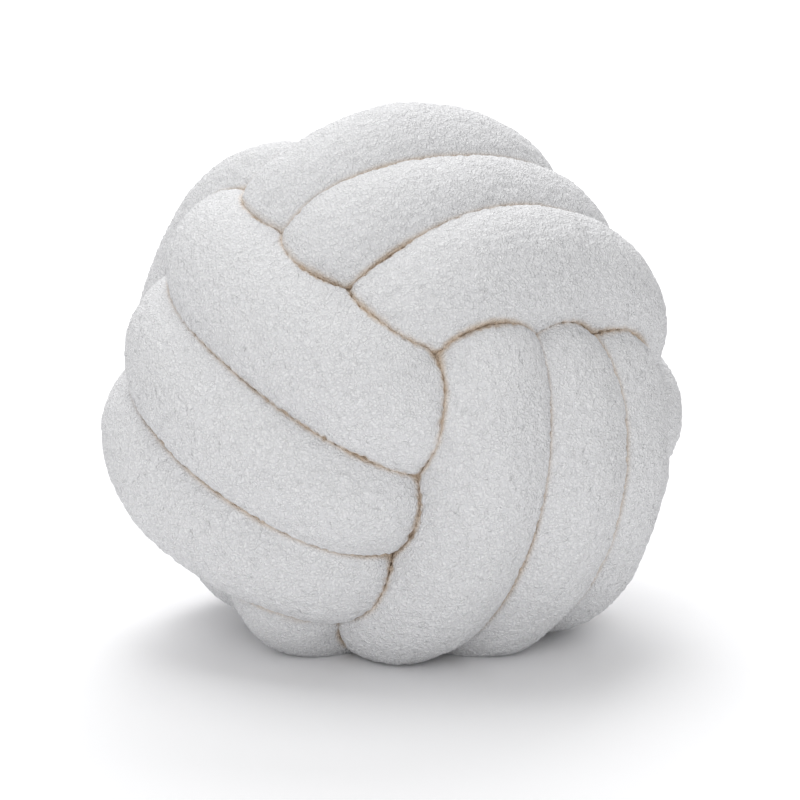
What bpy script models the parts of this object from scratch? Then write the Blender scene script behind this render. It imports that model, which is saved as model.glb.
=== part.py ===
"""Knot cushion: one stuffed fabric tube, joined end to end, laid as a ball knot of three crossing coils.

Each coil goes round the ball three times, over one neighbour and under the other. Metres, +Z up, the
ball standing on z = 0. Lengths called parts are parts of BALL_RADIUS. Angles are in degrees.
"""

import bpy
import numpy as np
from mathutils import Euler

BALL_RADIUS = 0.1475
FLOOR_LEVEL = -0.81
PRESS_START = -0.25
KNOT_TURN = (-23.2, -7.4, -137.9)
TUBE_GAP = 0.024
CREASE_ROUNDING = 0.05
BEND_FILL = 0.65
BEND_STEPS = 5
DIVE_SWAY = 0.5
OWN_LENGTH = 0.85

LANE_STEP = 25.0
DIVE_LANE_STEP = 26.0
CORE_LANE_STEP = 30.0
SHOULDER_AT = 42.0
DIVE_AT = 66.0
CREST_DEPTH = 0.77
SHOULDER_DEPTH = 0.74
DIVE_DEPTH = 0.46
CORE_DEPTH = 0.37
CREST_RADIUS = 0.255
SHOULDER_RADIUS = 0.25
DIVE_RADIUS = 0.20
CORE_RADIUS = 0.13
END_RADIUS = 0.10
LINK_RADIUS = 0.08
END_LANE_STEP = 62.0
END_DEPTH = 0.31
LINK_INSET = 0.3

SECTIONS = 400
SIDES = 12
PATH_STEPS = 1800
FABRIC_WHITE = (0.83, 0.81, 0.78, 1.0)

# The tube's way: coil, angle where it starts, direction round the coil, and its lanes in order.
ROUTE = (
    (0, -90.0, 1, (-1, 0, 1)),
    (2, 90.0, 1, (-1, 0, 1)),
    (1, -90.0, -1, (1, 0, -1)),
)

# How a turn (coil, side of the ball, lane) lies beside the regular knot, each at its first shoulder,
# crest and last shoulder: sway across the coil in degrees, lift and plumpness in parts, and slide
# along the coil in degrees. A turn that isn't here is regular.
LAY = {
    (0, 1, 1): {"sway": (0, 0, -1), "plump": (0, 0, 0.02)},
    (0, 1, 0): {"sway": (1, 0, -1), "lift": (-0.04, 0, 0), "plump": (0, 0, -0.01)},
    (0, 1, -1): {"sway": (3, 0.5, 2), "lift": (0, 0.01, 0), "plump": (0, 0.02, 0)},
    (0, -1, 1): {"sway": (-9, -9, -8), "lift": (0, -0.02, 0)},
    (1, 1, 1): {"sway": (-8, -6, -2), "lift": (0, 0.01, 0), "plump": (0, -0.02, 0)},
    (1, 1, 0): {"sway": (-7, -4, -1), "lift": (0, 0, -0.02), "slide": (0, 0, -6)},
    (1, 1, -1): {"sway": (-6, 2, 3), "lift": (0.02, 0, -0.02), "plump": (0, 0.01, 0), "slide": (0, 0, -4)},
    (1, -1, 1): {"lift": (0.03, 0.01, -0.02)},
    (2, 1, 0): {"sway": (0, 3, 1), "lift": (-0.03, -0.03, 0), "plump": (0, -0.01, 0)},
    (2, 1, -1): {"sway": (6, 6, 3), "lift": (0, 0.02, 0), "plump": (0, 0.02, 0)},
    (2, -1, 0): {"lift": (-0.08, -0.06, 0)},
    (2, -1, 1): {"sway": (0, -4, -6), "lift": (0, -0.04, 0)},
}
LEVEL = (0, 0, 0)


def coil_point(coil, along, across, depth):
    """Point at two angles of a coil and a distance from the ball's middle."""
    out, ahead, side = np.roll(np.eye(3), -coil, axis=0)
    along, across = np.radians(along), np.radians(across)
    ring = np.cos(along) * out + np.sin(along) * ahead
    return depth * (np.cos(across) * ring + np.sin(across) * side)


def outer_turn(coil, side, lane):
    """Five (point, radius) pairs of one turn over the outside: dive, shoulder, crest, shoulder, dive."""
    lay = LAY.get((coil, side, lane), {})
    sway, lift = lay.get("sway", LEVEL), lay.get("lift", LEVEL)
    plump, slide = lay.get("plump", LEVEL), lay.get("slide", LEVEL)
    middle = 0.0 if side > 0 else 180.0
    pairs = []
    for end in (0, 2):
        sign = end - 1
        across = lane * LANE_STEP + sway[end]
        dive = lane * DIVE_LANE_STEP + DIVE_SWAY * sway[end]
        shoulder = coil_point(coil, middle + sign * SHOULDER_AT + slide[end], across, SHOULDER_DEPTH + lift[end])
        pairs.append([
            (coil_point(coil, middle + sign * DIVE_AT, dive, DIVE_DEPTH), DIVE_RADIUS),
            (shoulder, SHOULDER_RADIUS + plump[end]),
        ])
    crest = coil_point(coil, middle + slide[1], lane * LANE_STEP + sway[1], CREST_DEPTH + lift[1])
    return pairs[0] + [(crest, CREST_RADIUS + plump[1])] + pairs[1][::-1]


def route_points():
    """Every (point, radius) pair round the closed tube, in the knot's own axes."""
    pairs = []
    for number, (coil, start, direction, lanes) in enumerate(ROUTE):
        angle = start
        passes = [(lane, half) for lane in lanes for half in (0, 1)]
        for step, (lane, half) in enumerate(passes):
            side = round(np.cos(np.radians(angle + direction * 90.0)))
            pairs += outer_turn(coil, side, lane)[::direction]
            angle += direction * 180.0
            if step < len(passes) - 1:
                between = (lane + passes[step + 1][0]) / 2
                pairs.append((coil_point(coil, angle, between * CORE_LANE_STEP, CORE_DEPTH), CORE_RADIUS))
        next_coil, next_start, _, next_lanes = ROUTE[(number + 1) % len(ROUTE)]
        leave = coil_point(coil, angle, lanes[-1] * END_LANE_STEP, END_DEPTH)
        enter = coil_point(next_coil, next_start, next_lanes[0] * END_LANE_STEP, END_DEPTH)
        pairs += [(leave, END_RADIUS), ((leave + enter) / 2 * LINK_INSET, LINK_RADIUS), (enter, END_RADIUS)]
    return np.array([point for point, _ in pairs]), np.array([radius for _, radius in pairs])


def laid_on_floor(points):
    """The knot turned as it lies, its underside pressed up by its own weight."""
    points = points @ np.array(Euler(np.radians(KNOT_TURN)).to_matrix()).T
    below = np.maximum(PRESS_START - points[:, 2], 0.0)
    depth = PRESS_START + 1.0
    points[:, 2] += (FLOOR_LEVEL + 1.0) * (below / depth) ** 2
    return points


def closed_spline(points, radii, steps):
    """Positions and radii at equal lengths along a smooth closed curve through the points."""
    count = len(points)
    span = np.linalg.norm(np.roll(points, -1, 0) - points, axis=1) ** 0.7
    before = np.roll(span, 1)
    row = np.arange(count)
    matrix = np.zeros((count, count))
    matrix[row, (row - 1) % count] = before / 6
    matrix[row, row] = (before + span) / 3
    matrix[row, (row + 1) % count] = span / 6
    slope = (np.roll(points, -1, 0) - points) / span[:, None]
    bow = np.linalg.solve(matrix, slope - np.roll(slope, 1, 0))
    knots = np.concatenate([[0.0], np.cumsum(span)])

    def at(place):
        first = np.clip(np.searchsorted(knots, place, side="right") - 1, 0, count - 1)
        second = (first + 1) % count
        width = span[first][:, None]
        gone = (place - knots[first])[:, None]
        left = width - gone
        cubic = (bow[first] * left**3 + bow[second] * gone**3) / (6 * width)
        line = (points[first] / width - bow[first] * width / 6) * left
        line += (points[second] / width - bow[second] * width / 6) * gone
        share = (gone / width)[:, 0]
        blend = share * share * (3 - 2 * share)
        return cubic + line, radii[first] * (1 - blend) + radii[second] * blend

    fine = np.linspace(0.0, knots[-1], count * 40 + 1)
    run = np.linalg.norm(np.diff(at(fine)[0], axis=0), axis=1)
    length = np.concatenate([[0.0], np.cumsum(run)])
    even = np.linspace(0.0, length[-1], steps, endpoint=False)
    centre, radius = at(np.interp(even, length, fine))
    return centre, radius, length[-1]


def section_axes(centre):
    """Unit tangent and two section axes that turn as little as they can and close on themselves."""
    tangent = np.roll(centre, -1, 0) - np.roll(centre, 1, 0)
    tangent /= np.linalg.norm(tangent, axis=1)[:, None]
    normal = np.empty_like(tangent)
    carried = np.array([0.3, 0.5, 0.81])
    for step, along in enumerate(tangent):
        carried = carried - carried @ along * along
        carried /= np.linalg.norm(carried)
        normal[step] = carried
    closing = carried - carried @ tangent[0] * tangent[0]
    twist = np.arctan2(closing @ np.cross(tangent[0], normal[0]), closing @ normal[0])
    turn = -twist * np.linspace(0.0, 1.0, len(centre), endpoint=False)[:, None]
    normal = np.cos(turn) * normal + np.sin(turn) * np.cross(tangent, normal)
    return tangent, normal, np.cross(tangent, normal)


def stuffed_surface(centre, radius, length, chosen):
    """Grid of points, a row per chosen section: each ray goes out to the tube's own radius or, where
    another turn is nearer, to half a gap short of the surface half-way between the two tubes."""
    tangent, normal, side = section_axes(centre)
    angle = 2 * np.pi * np.arange(SIDES) / SIDES
    ray = np.cos(angle)[None, :, None] * normal[chosen][:, None] + np.sin(angle)[None, :, None] * side[chosen][:, None]
    place = np.linspace(0.0, length, len(centre), endpoint=False)
    reach = np.empty(ray.shape[:2])
    for row, index in enumerate(chosen):
        apart = np.abs(place - place[index])
        other = np.minimum(apart, length - apart) > OWN_LENGTH
        low = np.zeros(SIDES)
        high = np.full(SIDES, radius[index] * 1.35)
        for _ in range(12):
            middle = (low + high) / 2
            tip = centre[index] + middle[:, None] * ray[row]
            own = middle - radius[index]
            away = np.linalg.norm(tip[:, None] - centre[None, other], axis=2) - radius[None, other]
            shared = (own - away.min(axis=1)) / 2 + TUBE_GAP / 2
            mix = np.clip(0.5 + 0.5 * (own - shared) / CREASE_ROUNDING, 0.0, 1.0)
            edge = own * mix + shared * (1 - mix) + CREASE_ROUNDING * mix * (1 - mix)
            low = np.where(edge < 0, middle, low)
            high = np.where(edge < 0, high, middle)
        reach[row] = (low + high) / 2
    ahead, behind = np.roll(tangent, -BEND_STEPS, 0), np.roll(tangent, BEND_STEPS, 0)
    bend = (ahead - behind) / (2 * BEND_STEPS * length / len(centre))
    inward = np.maximum((ray * bend[chosen][:, None]).sum(axis=2), 0.001)
    reach = (reach**-6 + (BEND_FILL / inward) ** -6) ** (-1 / 6)
    grid = centre[chosen][:, None] + reach[..., None] * ray
    grid[..., 2] = np.maximum(grid[..., 2], FLOOR_LEVEL)
    return grid


def spaced_sections(centre):
    """Indexes of the sections, half as dense in the ball's core as on its outside."""
    weight = np.where(np.linalg.norm(centre, axis=1) > 0.6, 1.0, 0.5)
    share = np.cumsum(weight) / weight.sum()
    return np.searchsorted(share, (np.arange(SECTIONS) + 0.5) / SECTIONS)


def tube_mesh(name, grid):
    """Mesh of a grid that closes on itself both ways, its faces outward."""
    rows, columns = grid.shape[:2]
    row, column = np.meshgrid(np.arange(rows), np.arange(columns), indexing="ij")
    next_row, next_column = (row + 1) % rows, (column + 1) % columns
    corners = ((row, column), (row, next_column), (next_row, next_column), (next_row, column))
    faces = np.stack([r * columns + c for r, c in corners], axis=-1).reshape(-1, 4)
    mesh = bpy.data.meshes.new(name)
    mesh.from_pydata(grid.reshape(-1, 3).tolist(), [], faces.tolist())
    mesh.shade_smooth()
    return mesh


def fabric_material():
    """Off-white looped pile fabric."""
    material = bpy.data.materials.new("pile_fabric")
    material.use_nodes = True
    shader = material.node_tree.nodes["Principled BSDF"]
    shader.inputs["Base Color"].default_value = FABRIC_WHITE
    shader.inputs["Roughness"].default_value = 0.95
    shader.inputs["Metallic"].default_value = 0.0
    return material


def build():
    for thing in list(bpy.data.objects):
        bpy.data.objects.remove(thing)
    collection = bpy.data.collections.new("knot_cushion")
    bpy.context.scene.collection.children.link(collection)

    points, radii = route_points()
    centre, radius, length = closed_spline(laid_on_floor(points), radii, PATH_STEPS)
    grid = stuffed_surface(centre, radius, length, spaced_sections(centre))
    low, high = grid.min(axis=(0, 1)), grid.max(axis=(0, 1))
    grid = BALL_RADIUS * (grid - [(low[0] + high[0]) / 2, (low[1] + high[1]) / 2, low[2]])

    tube = bpy.data.objects.new("knot_tube", tube_mesh("knot_tube", grid))
    tube.data.materials.append(fabric_material())
    collection.objects.link(tube)


build()
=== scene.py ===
# %% [markdown]
# # A knot cushion in pile fabric
# The real cushion is one long stuffed tube of looped pile fabric. It is wound into a ball knot: three
# coils cross each other at right angles, and each coil goes round the ball three times. This lesson
# loads the plain solid of the cushion, works the stuffed tube out again at full detail, gives it its
# pile, and lights it as in a small studio.
#
# The first cell brings in the solid. It fixes the size and the place of everything that follows.

import bpy
import numpy as np
from mathutils import Euler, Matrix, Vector


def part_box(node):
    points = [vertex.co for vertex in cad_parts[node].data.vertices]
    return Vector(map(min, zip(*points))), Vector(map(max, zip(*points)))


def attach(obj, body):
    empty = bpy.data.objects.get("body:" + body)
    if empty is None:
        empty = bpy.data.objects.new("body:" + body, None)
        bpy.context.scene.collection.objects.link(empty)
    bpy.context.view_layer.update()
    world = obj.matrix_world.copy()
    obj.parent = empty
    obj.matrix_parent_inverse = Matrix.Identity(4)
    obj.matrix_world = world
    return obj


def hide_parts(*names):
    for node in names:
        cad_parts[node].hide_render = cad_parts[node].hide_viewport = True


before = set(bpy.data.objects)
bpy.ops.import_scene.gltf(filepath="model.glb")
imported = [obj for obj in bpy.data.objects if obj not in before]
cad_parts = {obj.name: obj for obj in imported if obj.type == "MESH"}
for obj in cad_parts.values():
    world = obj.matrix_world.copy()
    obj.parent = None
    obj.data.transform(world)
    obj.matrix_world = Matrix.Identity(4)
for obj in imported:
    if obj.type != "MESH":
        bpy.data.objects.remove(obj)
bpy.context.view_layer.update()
low, high = (np.array(corner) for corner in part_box("knot_tube"))
print("solid tube from", low.round(4), "to", high.round(4), "m")

# %% [markdown]
# ## How the tube is laid
# A ball knot is described best by its coils. Each coil is a ring round the ball, and a point on it has
# an angle along the ring, an angle across it, and a depth from the ball's middle. A turn of the tube
# rises out of the core, runs over the outside of the ball beside its two neighbours, and dives under
# the next coil. Five points say where a turn goes: dive, shoulder, crest, shoulder, dive.
#
# All lengths here are parts of the ball's radius, and angles are in degrees. The values repeat those
# of the solid, apart from the gap between the turns, which the pile closes.

# %% The knot's sizes
LANE_STEP = 25.0
DIVE_LANE_STEP = 26.0
CORE_LANE_STEP = 30.0
END_LANE_STEP = 62.0
SHOULDER_AT = 42.0
DIVE_AT = 66.0
CREST_DEPTH, SHOULDER_DEPTH, DIVE_DEPTH, CORE_DEPTH, END_DEPTH = 0.77, 0.74, 0.46, 0.37, 0.31
CREST_RADIUS, SHOULDER_RADIUS, DIVE_RADIUS, CORE_RADIUS = 0.255, 0.25, 0.20, 0.13
END_RADIUS, LINK_RADIUS, LINK_INSET = 0.10, 0.08, 0.3
DIVE_SWAY = 0.5
FLOOR_LEVEL, PRESS_START = -0.81, -0.25
KNOT_TURN = (-23.2, -7.4, -137.9)
BALL_RADIUS = 0.1475

# Coil, angle where the tube starts on it, direction round it, and its lanes in order.
ROUTE = (
    (0, -90.0, 1, (-1, 0, 1)),
    (2, 90.0, 1, (-1, 0, 1)),
    (1, -90.0, -1, (1, 0, -1)),
)

# %% [markdown]
# A knot tied by hand isn't regular. This table says how each turn lies beside the regular knot, at its
# first shoulder, crest and last shoulder: sway across the coil and slide along it in degrees, lift and
# plumpness in parts of the radius. A turn is named by its coil, its side of the ball and its lane.

# %% How each turn lies
LEVEL = (0, 0, 0)
LAY = {
    (0, 1, 1): {"sway": (0, 0, -1), "plump": (0, 0, 0.02)},
    (0, 1, 0): {"sway": (1, 0, -1), "lift": (-0.04, 0, 0), "plump": (0, 0, -0.01)},
    (0, 1, -1): {"sway": (3, 0.5, 2), "lift": (0, 0.01, 0), "plump": (0, 0.02, 0)},
    (0, -1, 1): {"sway": (-9, -9, -8), "lift": (0, -0.02, 0)},
    (1, 1, 1): {"sway": (-8, -6, -2), "lift": (0, 0.01, 0), "plump": (0, -0.02, 0)},
    (1, 1, 0): {"sway": (-7, -4, -1), "lift": (0, 0, -0.02), "slide": (0, 0, -6)},
    (1, 1, -1): {
        "sway": (-6, 2, 3), "lift": (0.02, 0, -0.02), "plump": (0, 0.01, 0), "slide": (0, 0, -4),
    },
    (1, -1, 1): {"lift": (0.03, 0.01, -0.02)},
    (2, 1, 0): {"sway": (0, 3, 1), "lift": (-0.03, -0.03, 0), "plump": (0, -0.01, 0)},
    (2, 1, -1): {"sway": (6, 6, 3), "lift": (0, 0.02, 0), "plump": (0, 0.02, 0)},
    (2, -1, 0): {"lift": (-0.08, -0.06, 0)},
    (2, -1, 1): {"sway": (0, -4, -6), "lift": (0, -0.04, 0)},
}


def coil_point(coil, along, across, depth):
    """Point of a coil: cosine and sine of the angle along it on its own two axes, leaned across by the
    second angle, times the depth."""
    out, ahead, side = np.roll(np.eye(3), -coil, axis=0)
    along, across = np.radians(along), np.radians(across)
    ring = np.cos(along) * out + np.sin(along) * ahead
    return depth * (np.cos(across) * ring + np.sin(across) * side)


def outer_turn(coil, side, lane):
    """Five (point, radius) pairs of one turn: dive, shoulder, crest, shoulder, dive."""
    lay = LAY.get((coil, side, lane), {})
    sway, lift = lay.get("sway", LEVEL), lay.get("lift", LEVEL)
    plump, slide = lay.get("plump", LEVEL), lay.get("slide", LEVEL)
    middle = 0.0 if side > 0 else 180.0
    pairs = []
    for end in (0, 2):
        sign = end - 1
        across = lane * LANE_STEP + sway[end]
        dive = lane * DIVE_LANE_STEP + DIVE_SWAY * sway[end]
        at = middle + sign * SHOULDER_AT + slide[end]
        pairs.append([
            (coil_point(coil, middle + sign * DIVE_AT, dive, DIVE_DEPTH), DIVE_RADIUS),
            (coil_point(coil, at, across, SHOULDER_DEPTH + lift[end]),
             SHOULDER_RADIUS + plump[end]),
        ])
    across = lane * LANE_STEP + sway[1]
    crest = coil_point(coil, middle + slide[1], across, CREST_DEPTH + lift[1])
    return pairs[0] + [(crest, CREST_RADIUS + plump[1])] + pairs[1][::-1]


print(len(LAY), "of 18 turns lie off the regular knot")

# %% [markdown]
# ## The route round the ball
# The turns are strung together: over the outside, through the core under the crossing coil, and out
# again on the other side. After its third time round, a coil's tube runs through the core to the next
# coil. The last end meets the first, so the route is one closed loop.

# %% String the turns together
def route_points():
    """Every (point, radius) pair round the closed tube, in the knot's own axes."""
    pairs = []
    for number, (coil, start, direction, lanes) in enumerate(ROUTE):
        angle = start
        passes = [(lane, half) for lane in lanes for half in (0, 1)]
        for step, (lane, half) in enumerate(passes):
            side = round(np.cos(np.radians(angle + direction * 90.0)))
            pairs += outer_turn(coil, side, lane)[::direction]
            angle += direction * 180.0
            if step < len(passes) - 1:
                across = (lane + passes[step + 1][0]) / 2 * CORE_LANE_STEP
                pairs.append((coil_point(coil, angle, across, CORE_DEPTH), CORE_RADIUS))
        next_coil, next_start, _, next_lanes = ROUTE[(number + 1) % len(ROUTE)]
        leave = coil_point(coil, angle, lanes[-1] * END_LANE_STEP, END_DEPTH)
        enter = coil_point(next_coil, next_start, next_lanes[0] * END_LANE_STEP, END_DEPTH)
        link = (leave + enter) / 2 * LINK_INSET
        pairs += [(leave, END_RADIUS), (link, LINK_RADIUS), (enter, END_RADIUS)]
    return np.array([point for point, _ in pairs]), np.array([radius for _, radius in pairs])


def laid_on_floor(points):
    """The knot turned as it lies. Below PRESS_START a point rises by the square of its depth."""
    points = points @ np.array(Euler(np.radians(KNOT_TURN)).to_matrix()).T
    below = np.maximum(PRESS_START - points[:, 2], 0.0)
    points[:, 2] += (FLOOR_LEVEL + 1.0) * (below / (PRESS_START + 1.0)) ** 2
    return points


route, route_radius = route_points()
route = laid_on_floor(route)
print(len(route), "points on the route")

# %% [markdown]
# A stuffed tube bends in smooth curves, so a periodic cubic spline goes through the points: between
# two points it is a cubic, and its slope and bend agree where the cubics meet. Its second derivatives
# come from one set of linear equations. It is then read off at equal lengths, because everything after
# this counts in millimetres along the tube.

# %% A smooth closed curve
PATH_STEPS = 6000
SPAN_POWER = 0.7
READINGS_EACH = 60


def closed_spline(points, radii, steps):
    """Positions and radii at equal lengths along the cubic spline. Radii blend by 3t^2 - 2t^3."""
    count = len(points)
    span = np.linalg.norm(np.roll(points, -1, 0) - points, axis=1) ** SPAN_POWER
    before, row = np.roll(span, 1), np.arange(count)
    matrix = np.zeros((count, count))
    matrix[row, (row - 1) % count] = before / 6
    matrix[row, row] = (before + span) / 3
    matrix[row, (row + 1) % count] = span / 6
    slope = (np.roll(points, -1, 0) - points) / span[:, None]
    bow = np.linalg.solve(matrix, slope - np.roll(slope, 1, 0))
    knots = np.concatenate([[0.0], np.cumsum(span)])

    def at(place):
        first = np.clip(np.searchsorted(knots, place, side="right") - 1, 0, count - 1)
        second = (first + 1) % count
        width = span[first][:, None]
        gone = (place - knots[first])[:, None]
        left = width - gone
        cubic = (bow[first] * left**3 + bow[second] * gone**3) / (6 * width)
        line = (points[first] / width - bow[first] * width / 6) * left
        line += (points[second] / width - bow[second] * width / 6) * gone
        share = (gone / width)[:, 0]
        blend = share * share * (3 - 2 * share)
        return cubic + line, radii[first] * (1 - blend) + radii[second] * blend

    fine = np.linspace(0.0, knots[-1], count * READINGS_EACH + 1)
    run = np.linalg.norm(np.diff(at(fine)[0], axis=0), axis=1)
    length = np.concatenate([[0.0], np.cumsum(run)])
    even = np.linspace(0.0, length[-1], steps, endpoint=False)
    centre, radius = at(np.interp(even, length, fine))
    return centre, radius, length[-1]


centre, tube_radius, tube_length = closed_spline(route, route_radius, PATH_STEPS)
print("tube length is", round(tube_length, 1), "times the ball's radius")

# %% [markdown]
# ## Which way is out
# Each section of the tube needs two axes square to it. Axes that turn as little as they can along the
# curve are smooth but say nothing about the ball, so they are turned again until the first one faces
# away from the ball's middle. Then the first column of the mesh always runs along the top of a turn,
# and the mesh can be fine outside and coarse inside. In the core, where out means little, the turning
# is carried over from both sides.

# %% Section axes
GUIDE = np.array([0.3, 0.5, 0.81])
SURE_DEPTH = 0.55
SMOOTH_SPAN = 21
WELL_OUT = 0.7


def square_to(vectors, tangent):
    """Unit vectors: each vector less its part along the tangent."""
    flat = vectors - (vectors * tangent).sum(axis=1)[:, None] * tangent
    return flat / np.linalg.norm(flat, axis=1)[:, None]


def turned(axis, tangent, angle):
    """Axis turned about the tangent: its cosine part plus the sine part of the third axis."""
    return np.cos(angle)[:, None] * axis + np.sin(angle)[:, None] * np.cross(tangent, axis)


def section_axes(centre):
    """Tangent, axis facing out, and side axis of each section.

    A fixed guide made square to the tangent is carried from each section to the next. The angles left
    over add up to the guide's own turning, and taking that away leaves axes that don't turn. The angle
    from those to the outward direction is then unwrapped, smoothed, and put back."""
    count = len(centre)
    step = np.arange(count)
    tangent = np.roll(centre, -1, 0) - np.roll(centre, 1, 0)
    tangent /= np.linalg.norm(tangent, axis=1)[:, None]
    guide = square_to(np.broadcast_to(GUIDE, tangent.shape), tangent)
    carried = square_to(guide, np.roll(tangent, -1, 0))
    ahead, ahead_guide = np.roll(tangent, -1, 0), np.roll(guide, -1, 0)
    beside = (ahead_guide * np.cross(ahead, carried)).sum(axis=1)
    drift = np.arctan2(beside, (ahead_guide * carried).sum(axis=1))
    total = drift.sum()
    closing = np.arctan2(np.sin(total), np.cos(total))
    still = turned(guide, tangent, closing * step / count - (np.cumsum(drift) - drift))

    beside = (centre * np.cross(tangent, still)).sum(axis=1)
    outward = np.arctan2(beside, (centre * still).sum(axis=1))
    sure = np.flatnonzero(np.linalg.norm(centre, axis=1) > SURE_DEPTH)
    seen = np.unwrap(outward[np.append(sure, sure[0])])
    ramp = (seen[-1] - seen[0]) * (step - sure[0]) / count
    lean = np.interp(step, sure, seen[:-1] - ramp[sure], period=count)
    around = np.concatenate([lean[-SMOOTH_SPAN:], lean, lean[:SMOOTH_SPAN]])
    kernel = np.ones(2 * SMOOTH_SPAN + 1) / (2 * SMOOTH_SPAN + 1)
    facing = turned(still, tangent, np.convolve(around, kernel, "valid") + ramp)
    return tangent, facing, np.cross(tangent, facing)


tangent, facing, sideways = section_axes(centre)
outside = np.linalg.norm(centre, axis=1) > WELL_OUT
cosine = (facing * centre).sum(axis=1)[outside] / np.linalg.norm(centre[outside], axis=1)
off_by = float(np.degrees(np.arccos(cosine.min())))
print("out-facing axes are within", round(off_by, 1), "degrees of out")

# %% [markdown]
# ## Stuffing the tube
# Stuffing blows the fabric out until it either reaches its own girth or meets the next turn. Two turns
# pressed together share the room between them, so the fabric ends up half-way. Cloth simulation is the
# usual way to fill a cushion, but here the tube presses on itself along its whole length, in layers
# down to the core, and the simulation would have to find thousands of contacts without letting one
# layer slip through another. The half-way rule gives the same resting shape directly.
#
# From the middle line, rays go out all round. On each ray the surface is where a blend of two measures
# is nought: how far the point is beyond the tube's own girth, and how much nearer it is to another
# turn. The place is found by halving the ray again and again, for many rays at once.

# %% How far each ray goes
RAY_ROWS, RAY_COLUMNS = 1200, 72
OWN_LENGTH = 0.85
TOUCH_GAP = -0.010
CREASE_ROUNDING = 0.02
BEND_FILL, BEND_SHARPNESS = 0.65, 6
BEND_STEPS = 17
LEAST_BEND = 0.001
FAR_REACH, NEAR_ENOUGH, HALVINGS = 1.35, 0.8, 13
FAR_OFF = 9
TOGETHER, EVERY = 30, 4


def rays(angle, out, side):
    """Unit vectors: cosine of the angle times the outward axis, plus its sine times the side axis."""
    cosine, sine = np.cos(angle)[None, :, None], np.sin(angle)[None, :, None]
    return cosine * out[:, None] + sine * side[:, None]


def ray_lengths(rows, angle):
    """Length of each ray, and the air between its tip and the nearest other turn.

    The blend is a smooth maximum: the larger of the two measures, plus a rounding where they are close.
    A ray on the inside of a bend is held to a share of the bend's radius, so sections never cross."""
    ray = rays(angle, facing[rows], sideways[rows])
    count = len(centre)
    place = np.arange(0, count, EVERY)
    others, girth = centre[::EVERY].astype(np.float32), tube_radius[::EVERY].astype(np.float32)
    reach, air = np.empty(ray.shape[:2]), np.empty(ray.shape[:2])
    for start in range(0, len(rows), TOGETHER):
        part = slice(start, start + TOGETHER)
        here = rows[part]
        middle_point = centre[here].mean(axis=0)
        near = np.flatnonzero(np.linalg.norm(others - middle_point, axis=1) < NEAR_ENOUGH)
        apart = np.abs(place[near][None, :] - here[:, None])
        own_part = np.minimum(apart, count - apart) * tube_length / count < OWN_LENGTH
        low = np.zeros(ray[part].shape[:2])
        high = np.repeat(tube_radius[here][:, None] * FAR_REACH, len(angle), axis=1)
        for _ in range(HALVINGS):
            middle = (low + high) / 2
            tip = centre[here][:, None] + middle[..., None] * ray[part] - middle_point
            tip = tip.astype(np.float32)
            about = others[near] - middle_point.astype(np.float32)
            squares = (tip**2).sum(axis=2)[..., None] + (about**2).sum(axis=1)
            away = np.sqrt(np.maximum(squares - 2 * (tip @ about.T), 0)) - girth[near]
            away = np.where(own_part[:, None], np.float32(FAR_OFF), away).min(axis=2)
            own = middle - tube_radius[here][:, None]
            shared = (own - away) / 2 + TOUCH_GAP / 2
            mix = np.clip(0.5 + 0.5 * (own - shared) / CREASE_ROUNDING, 0, 1)
            edge = own * mix + shared * (1 - mix) + CREASE_ROUNDING * mix * (1 - mix)
            low, high = np.where(edge < 0, middle, low), np.where(edge < 0, high, middle)
        reach[part], air[part] = (low + high) / 2, away
    bend = (np.roll(tangent, -BEND_STEPS, 0) - np.roll(tangent, BEND_STEPS, 0))[rows]
    bend *= count / (2 * BEND_STEPS * tube_length)
    limit = BEND_FILL / np.maximum((ray * bend[:, None]).sum(axis=2), LEAST_BEND)
    return (reach**-BEND_SHARPNESS + limit**-BEND_SHARPNESS) ** (-1 / BEND_SHARPNESS), air


ray_rows = np.arange(RAY_ROWS) * PATH_STEPS // RAY_ROWS
ray_angle = 2 * np.pi * np.arange(RAY_COLUMNS) / RAY_COLUMNS
reach, air = ray_lengths(ray_rows, ray_angle)
shortest, longest = np.array([reach.min(), reach.max()]) * BALL_RADIUS * 1000
print("rays are", shortest.round(1), "to", longest.round(1), "mm")

# %% [markdown]
# ## The fine grid
# The fabric's pile needs points little more than a millimetre apart, but only where it shows. So the
# rows of the mesh crowd together on the outside of the ball and spread in its core, and the columns
# crowd on the side of the tube that faces out. A column or row that is placed by running totals of a
# wished density does that with one interpolation.

# %% Places of rows and columns
FINE, COARSE = 0.0013, 0.006
ROUND_TURN = 0.245 * BALL_RADIUS
CORE_EDGE, OUTER_EDGE = 0.50, 0.58
BEARINGS = 3600
FACE_EDGE, BACK_EDGE = 100, 128


def spread(density):
    """Fractional places such that equal shares of the summed density lie between neighbours."""
    total = np.concatenate([[0.0], np.cumsum(density)])
    count = round(total[-1])
    return np.interp(np.arange(count) / count * total[-1], total, np.arange(len(total)))


def ease(value, start, end):
    """Smooth step: nought before start, one after end, 3t^2 - 2t^3 between."""
    share = np.clip((value - start) / (end - start), 0, 1)
    return share * share * (3 - 2 * share)


depth = np.linalg.norm(centre, axis=1)
step_length = tube_length * BALL_RADIUS / PATH_STEPS
row_size = COARSE + (FINE - COARSE) * ease(depth, CORE_EDGE, OUTER_EDGE)
row_place = spread(step_length / row_size)
bearing = (np.arange(BEARINGS) / BEARINGS * 360 + 180) % 360 - 180
column_length = 2 * np.pi * ROUND_TURN / BEARINGS
column_size = FINE + (COARSE - FINE) * ease(np.abs(bearing), FACE_EDGE, BACK_EDGE)
column_place = spread(column_length / column_size)
print(len(row_place), "rows and", len(column_place), "columns")

# %% [markdown]
# The rays were few, and their lengths change smoothly, so the fine grid reads them with cubic curves
# between the known values, first along the tube and then round it.

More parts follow.
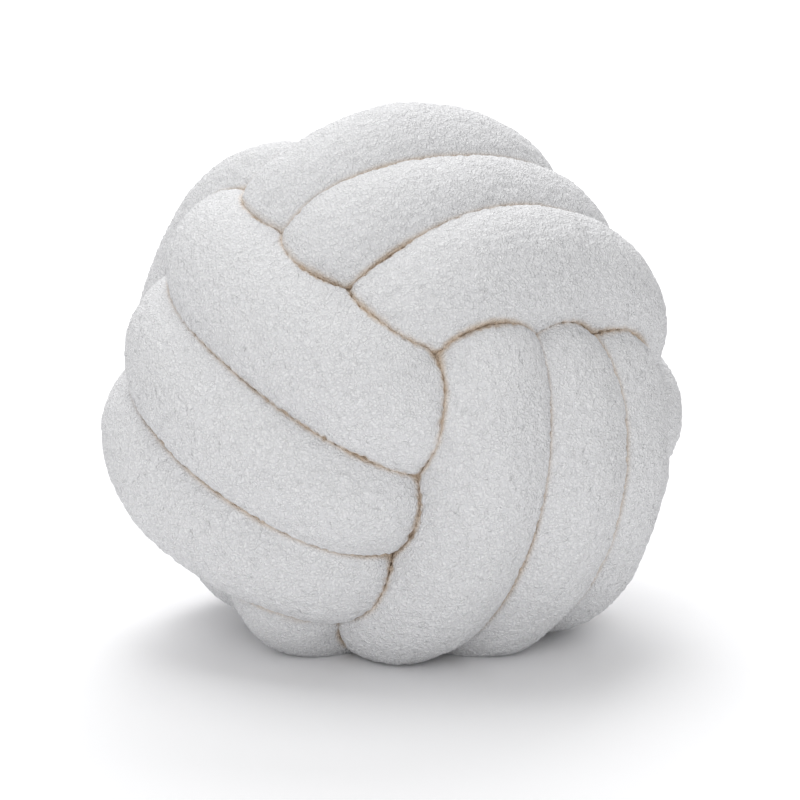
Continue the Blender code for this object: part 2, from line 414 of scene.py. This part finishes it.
# %% The stuffed tube's surface
def read_curves(values, places, axis):
    """Catmull-Rom reading of a grid that closes on itself, at fractional places along one axis."""
    first = np.floor(places).astype(int)
    t = places - first
    weights = (
        (-t + 2 * t**2 - t**3) / 2,
        (2 - 5 * t**2 + 3 * t**3) / 2,
        (t + 4 * t**2 - 3 * t**3) / 2,
        (t**3 - t**2) / 2,
    )
    shape = [1] * values.ndim
    shape[axis] = -1
    count = values.shape[axis]
    return sum(
        np.take(values, (first + number - 1) % count, axis) * weight.reshape(shape)
        for number, weight in enumerate(weights)
    )


fine_angle = 2 * np.pi * column_place / BEARINGS
fine_rows = row_place * RAY_ROWS / PATH_STEPS
fine_columns = column_place * RAY_COLUMNS / BEARINGS
fine_reach = read_curves(read_curves(reach, fine_rows, 0), fine_columns, 1)
fine_air = read_curves(read_curves(air, fine_rows, 0), fine_columns, 1)
fine_centre, fine_facing, fine_side = (
    read_curves(part, row_place, 0) for part in (centre, facing, sideways)
)
ray = rays(fine_angle, fine_facing, fine_side)
surface = fine_centre[:, None] + fine_reach[..., None] * ray
surface[..., 2] = np.maximum(surface[..., 2], FLOOR_LEVEL)

middle = (surface.min(axis=(0, 1)) + surface.max(axis=(0, 1))) / 2 * BALL_RADIUS
ball_middle = (low + high) / 2 - middle
ball_middle[2] = -FLOOR_LEVEL * BALL_RADIUS
surface = surface * BALL_RADIUS + ball_middle
print("smooth tube spans", (np.ptp(surface, axis=(0, 1)) * 1000).round(1), "mm")

# %% [markdown]
# ## Noise to shape the pile
# Looped pile is made of yarn loops that curl into small nubs, no two alike. Two kinds of noise draw
# them. Value noise gives each corner of a cubic lattice a random number and blends between corners: it
# makes soft lumps. Cell noise puts one random centre in each lattice cell and measures the distance to
# the nearest: it makes round nubs with narrow valleys. Both work in space, so the pattern has no seam.
# The random numbers come from multiplying and mixing the bits of the cell's three whole numbers.

# %% Two kinds of noise
def scatter(cell, seed):
    """Random number from 0 to 1 for each whole-number cell: bits multiplied, shifted and mixed."""
    mixed = cell[..., 0] * 73856093 ^ cell[..., 1] * 19349663 ^ cell[..., 2] * 83492791
    mixed = mixed ^ seed * 2654435761
    mixed = (mixed & 0xFFFFFFFF) * 747796405 + 2891336453 & 0xFFFFFFFF
    mixed = (mixed >> 15 ^ mixed) * 277803737 & 0xFFFFFFFF
    return (mixed >> 13 ^ mixed & 0xFFFFFFFF) % 65536 / 65536


def value_noise(points, size, seed):
    """Noise from -1 to 1, lumps about one size across: eight corner values blended by 3t^2 - 2t^3."""
    cell = np.floor(points / size).astype(np.int64)
    share = points / size - cell
    share = share * share * (3 - 2 * share)
    total = np.zeros(points.shape[:-1])
    for corner in np.ndindex(2, 2, 2):
        weight = np.prod(np.where(corner, share, 1 - share), axis=-1)
        total += weight * scatter(cell + corner, seed)
    return 2 * total - 1


def cell_distance(points, size, seed):
    """Distance from each point to the nearest scattered centre, one centre to a cell, in sizes."""
    cell = np.floor(points / size).astype(np.int64)
    share = (points / size - cell).astype(np.float32)
    nearest = np.full(points.shape[:-1], 9.0, np.float32)
    for corner in np.ndindex(3, 3, 3):
        offset = np.array(corner) - 1
        square = np.zeros_like(nearest)
        for axis in range(3):
            centre_at = offset[axis] + scatter(cell + offset, seed + axis).astype(np.float32)
            square += (centre_at - share[..., axis]) ** 2
        nearest = np.minimum(nearest, square)
    return np.sqrt(nearest)


sample = value_noise(surface[::40, ::10], 0.01, 1)
print("value noise spans", sample.min().round(2), "to", sample.max().round(2))

# %% [markdown]
# ## Pile on the tube
# Stuffing is never even: it leaves soft lumps a few centimetres across and a millimetre or so high.
# The pile itself stands on that as nubs two to three millimetres across, which make the outline of
# each turn a little rough. Each point is moved along the surface's own normal. On the underside the
# pile is pressed flat, so the moves fade out at the floor and nothing goes through it. Where two turns
# meet there, the fabric rises a little into the crease, or their undersides would share one plane.

# %% Lumps and nubs
LUMP_SIZE, LUMP_HEIGHT = 0.034, 0.0011
LUMP_SEEDS, WANDER_SEEDS, NUB_SEED = (11, 12), (21, 22, 23), 31
NUB_SIZE, NUB_HEIGHT, NUB_REACH = 0.0028, 0.0015, 0.85
WANDER_SIZE, WANDER = 0.004, 0.0011
PRESSED_FROM = 0.002
PRESSED_IN, NEAR_TURN, CREASE_RISE = -0.0015, 0.0025, 0.002


def surface_normals(grid):
    """Unit normals of a grid closed both ways: cross product of the differences along its two ways."""
    along = np.roll(grid, -1, 0) - np.roll(grid, 1, 0)
    around = np.roll(grid, -1, 1) - np.roll(grid, 1, 1)
    normal = np.cross(around, along)
    return normal / np.maximum(np.linalg.norm(normal, axis=2), 1e-12)[..., None]


normal = surface_normals(surface)
if (normal * ray).sum(axis=2).mean() < 0:
    normal = -normal
lump = value_noise(surface, LUMP_SIZE, LUMP_SEEDS[0])
lump += 0.5 * value_noise(surface, LUMP_SIZE / 2, LUMP_SEEDS[1])
wander = [value_noise(surface, WANDER_SIZE, seed) for seed in WANDER_SEEDS]
wandered = surface + WANDER * np.stack(wander, axis=-1)
nub = np.clip(1 - (cell_distance(wandered, NUB_SIZE, NUB_SEED) / NUB_REACH) ** 2, 0, 1)
lifted = ease(surface[..., 2], 0, PRESSED_FROM)
move = (LUMP_HEIGHT * lump + NUB_HEIGHT * (nub - 0.5)) * lifted
piled = surface + move[..., None] * normal
crease = 1 - ease(fine_air * BALL_RADIUS, PRESSED_IN, NEAR_TURN)
piled[..., 2] = np.maximum(piled[..., 2], CREASE_RISE * crease)
print("points move from", (move.min() * 1000).round(2), "to", (move.max() * 1000).round(2), "mm")

# %% [markdown]
# ## The mesh
# The grid closes on itself both ways, so its faces are squares between neighbouring rows and columns,
# the last ones going back to the first. One value rides along on the points for the material to read:
# how near the next turn is, from nought in the open to one where two turns touch. The material paints
# warm shade into the creases by it.

# %% Build the stuffed tube
def closed_tube(name, grid, facing_out):
    """Mesh of a grid that closes on itself both ways: one square for each grid cell."""
    rows, columns = grid.shape[:2]
    row, column = np.meshgrid(np.arange(rows), np.arange(columns), indexing="ij")
    next_row, next_column = (row + 1) % rows, (column + 1) % columns
    corners = ((row, column), (row, next_column), (next_row, next_column), (next_row, column))
    faces = np.stack([r * columns + c for r, c in corners[::facing_out]], axis=-1).reshape(-1)
    mesh = bpy.data.meshes.new(name)
    mesh.vertices.add(rows * columns)
    mesh.vertices.foreach_set("co", grid.reshape(-1).astype(np.float32))
    mesh.loops.add(len(faces))
    mesh.loops.foreach_set("vertex_index", faces.astype(np.int32))
    mesh.polygons.add(rows * columns)
    mesh.polygons.foreach_set("loop_start", np.arange(0, len(faces), 4, dtype=np.int32))
    mesh.update(calc_edges=True)
    mesh.shade_smooth()
    return mesh


def point_value(mesh, name, values):
    """One number for each point, in the order of the points."""
    attribute = mesh.attributes.new(name, "FLOAT", "POINT")
    attribute.data.foreach_set("value", values.reshape(-1).astype(np.float32))


mesh = closed_tube("pile_tube", piled, 1)
point_value(mesh, "crease", crease)
pile_tube = bpy.data.objects.new("pile_tube", mesh)
bpy.context.scene.collection.objects.link(pile_tube)
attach(pile_tube, "root")
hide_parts("knot_tube")
outward = mesh.polygons[0].normal.dot(Vector(normal[0, 0])) > 0
print(len(mesh.polygons), "square faces; outward:", outward)

# %% [markdown]
# ## Looped pile fabric
# The real fabric is a boucle knit, sold as teddy: off-white polyester yarn whose loops stand up and
# curl into nubs. Its colours are worked out here from the hex codes that a fabric card would give, and
# they have to be turned to linear values first, because light adds up in those. The node helper keeps
# each later step to one line: it makes a node, sets it, and joins whatever feeds it.

# %% A helper for colours and one for nodes
def colour(code):
    """Linear colour from an sRGB hex code.

    Each share c becomes (c + 0.055) / 1.055 to the power 2.4, or c / 12.92 where it is very small."""
    parts = np.array([int(code[i : i + 2], 16) for i in (1, 3, 5)]) / 255
    linear = np.where(parts <= 0.04045, parts / 12.92, ((parts + 0.055) / 1.055) ** 2.4)
    return (*linear.tolist(), 1.0)


def add_node(tree, kind, settings=None, inputs=None):
    """One node with its settings and inputs. An input is a plain value or another node's output."""
    node = tree.nodes.new(kind)
    for name, value in (settings or {}).items():
        setattr(node, name, value)
    for name, value in (inputs or {}).items():
        if isinstance(value, bpy.types.NodeSocket):
            tree.links.new(value, node.inputs[name])
        else:
            node.inputs[name].default_value = value
    return node


# %% [markdown]
# The pile is matt all over, with hardly any sheen, because its loops stand every way and scatter the
# light. Down in the creases a warmer, darker colour is painted on as shade, for the light that has gone
# through many fibres and comes back warmer. The nubs are in the mesh already, and an image of the
# fabric would be the other usual way, but it would need a seam. So cells with wandering walls draw the
# single loops, which are a little over a millimetre wide, and a finer noise draws the fibres. Together
# they are the height of the bump, and they also set painted shade in the colour: lighter on the tips
# of the loops, darker between them.

# %% Off-white boucle
LOOP_WIDTH, CURL_SIZE, CURL = 0.0014, 0.0026, 0.0009
FIBRE_WIDTH, FIBRE_SHARE = 0.0006, 0.45
PILE_DEPTH = 0.0006
LOOP_EDGE, LOOP_TIP = 0.85, 0.1
VALLEY_FLOOR, TIP_TOP = 0.15, 1.05


def boucle(name, light, valley_shade_colour, fold_shade_colour):
    """Matt looped pile whose colour holds painted shade: light on the loops, darker between them, warm
    and darker in the folds.
    """
    material = bpy.data.materials.new(name)
    material.use_nodes = True
    tree = material.node_tree
    shader = tree.nodes["Principled BSDF"]
    shader.inputs["Roughness"].default_value = 0.95
    shader.inputs["Specular IOR Level"].default_value = 0.2
    shader.inputs["Sheen Weight"].default_value = 0.05
    shader.inputs["Sheen Roughness"].default_value = 0.5
    place = add_node(tree, "ShaderNodeTexCoord").outputs["Object"]
    near_turn = add_node(tree, "ShaderNodeAttribute", {"attribute_name": "crease"}).outputs["Fac"]
    bent = add_node(
        tree, "ShaderNodeTexNoise", {}, {"Vector": place, "Scale": 1 / CURL_SIZE, "Detail": 1.0}
    ).outputs["Color"]
    away = add_node(
        tree, "ShaderNodeVectorMath", {"operation": "SUBTRACT"}, {0: bent, 1: (0.5, 0.5, 0.5)}
    ).outputs[0]
    curled = add_node(
        tree, "ShaderNodeVectorMath", {"operation": "MULTIPLY_ADD"},
        {0: away, 1: (2 * CURL, 2 * CURL, 2 * CURL), 2: place},
    ).outputs[0]
    loops = add_node(
        tree, "ShaderNodeTexVoronoi", {"feature": "F1"}, {"Vector": curled, "Scale": 1 / LOOP_WIDTH}
    ).outputs["Distance"]
    loop = add_node(
        tree, "ShaderNodeMapRange", {"interpolation_type": "SMOOTHSTEP"},
        {"Value": loops, "From Min": LOOP_EDGE, "From Max": LOOP_TIP},
    ).outputs["Result"]
    fibres = add_node(
        tree, "ShaderNodeTexNoise", {}, {"Vector": place, "Scale": 1 / FIBRE_WIDTH, "Detail": 2.0}
    ).outputs["Fac"]
    height = add_node(
        tree, "ShaderNodeMath", {"operation": "MULTIPLY_ADD"}, {0: fibres, 1: FIBRE_SHARE, 2: loop}
    ).outputs[0]
    shade = add_node(
        tree, "ShaderNodeMapRange", {},
        {"Value": height, "From Min": VALLEY_FLOOR, "From Max": TIP_TOP},
    ).outputs["Result"]
    # Painted shade: the colour goes from the light loop tips to the darker valley colour between the
    # loops.
    pile_with_painted_shade = add_node(
        tree, "ShaderNodeMix", {"data_type": "RGBA"}, {6: valley_shade_colour, 7: light, 0: shade}
    ).outputs[2]
    # Painted shade: a warm, darker colour where the next turn is near, in the creases.
    colour_with_painted_shade = add_node(
        tree, "ShaderNodeMix", {"data_type": "RGBA"}, {6: pile_with_painted_shade, 7: fold_shade_colour, 0: near_turn}
    ).outputs[2]
    bump = add_node(
        tree, "ShaderNodeBump", {}, {"Height": height, "Strength": 1.0, "Distance": PILE_DEPTH}
    ).outputs["Normal"]
    tree.links.new(colour_with_painted_shade, shader.inputs["Base Color"])
    tree.links.new(bump, shader.inputs["Normal"])
    return material


# The second colour is painted shade between the loops, the third warm painted shade in the creases.
fabric = boucle("off_white_boucle", colour("#F3F3F4"), colour("#DFDFE1"), colour("#DCCBB8"))
mesh.materials.append(fabric)
print("fabric has", len(fabric.node_tree.nodes), "nodes")

# %% [markdown]
# ## Floor, light and camera
# The cushion stands on a sheet of white paper that goes on far behind it, so that no edge shows. One
# flat square does, because nothing but light and shadow falls on it. Paper is matt, so it is rough and
# hardly glossy.

# %% Floor
FLOOR_SIZE = 12.0
corner = FLOOR_SIZE / 2
floor_mesh = bpy.data.meshes.new("floor")
floor_corners = [(-corner, -corner, 0), (corner, -corner, 0), (corner, corner, 0), (-corner, corner, 0)]
floor_mesh.from_pydata(floor_corners, [], [(0, 1, 2, 3)])
floor = bpy.data.objects.new("floor", floor_mesh)
bpy.context.scene.collection.objects.link(floor)
paper = bpy.data.materials.new("white_paper_floor")
paper.use_nodes = True
paper_inputs = paper.node_tree.nodes["Principled BSDF"].inputs
paper_inputs["Base Color"].default_value = colour("#FCFCFD")
paper_inputs["Roughness"].default_value = 0.9
paper_inputs["Specular IOR Level"].default_value = 0.2
floor_mesh.materials.append(paper)
print("floor is", FLOOR_SIZE, "m square")

# %% [markdown]
# White fabric shows its shape by soft shadows only. A large light hangs above and to the left, one
# stands low in front of it, and a strong one behind lights the tops of the turns. A fourth hangs over
# the paper far behind, to keep it white to the horizon. The pale surround fills what is left, as white
# walls would. A single sun would be simpler, but it draws hard shadows.

# %% Light
world = bpy.data.worlds.new("studio")
bpy.context.scene.world = world
world.use_nodes = True
surround = world.node_tree.nodes.get("Background") or add_node(world.node_tree, "ShaderNodeBackground")
surround.inputs["Color"].default_value = colour("#FFFFFF")
surround.inputs["Strength"].default_value = 0.46


def soft_light(name, place, size, watts, target, tint="#FFFFFF"):
    """Square area light at a place, aimed at a target."""
    light = bpy.data.lights.new(name, "AREA")
    light.shape, light.size, light.energy = "SQUARE", size, watts
    light.color = colour(tint)[:3]
    lamp = bpy.data.objects.new(name, light)
    lamp.location = place
    lamp.rotation_euler = (Vector(target) - lamp.location).to_track_quat("-Z", "Y").to_euler()
    bpy.context.scene.collection.objects.link(lamp)
    return lamp


lamps = (
    soft_light("overhead_softbox", (-0.4, 0.2, 1.9), 1.4, 15.0, ball_middle),
    soft_light("front_softbox", (-0.2, -2.6, 1.2), 1.4, 19.0, ball_middle),
    soft_light("back_softbox", (0.2, 1.8, 1.9), 1.4, 24.0, ball_middle),
    soft_light("paper_softbox", (0.0, 3.6, 1.6), 3.0, 60.0, (0.0, 3.6, 0.0)),
)
bpy.context.scene.view_settings.view_transform = "Standard"
print("lamps:", [lamp.name for lamp in lamps])

# %% [markdown]
# The camera looks down a little on the cushion, from far enough away that the ball looks nearly as it
# would without perspective. Its shift only centres the cushion in the frame.

# %% Camera
ELEVATION, DISTANCE = 12.0, 2.0 / 0.15 * BALL_RADIUS
SENSOR, LENS = 36.0, 169.9
camera_data = bpy.data.cameras.new("camera")
camera_data.sensor_width = SENSOR
camera_data.lens = LENS
camera_data.shift_x, camera_data.shift_y = 0.005, 0.00375
camera = bpy.data.objects.new("camera", camera_data)
lean_back = np.radians(ELEVATION)
camera.location = ball_middle + DISTANCE * np.array([0, -np.cos(lean_back), np.sin(lean_back)])
camera.rotation_euler = (np.pi / 2 - lean_back, 0, 0)
bpy.context.scene.collection.objects.link(camera)
bpy.context.scene.camera = camera
print("camera at", [round(value, 3) for value in camera.location])
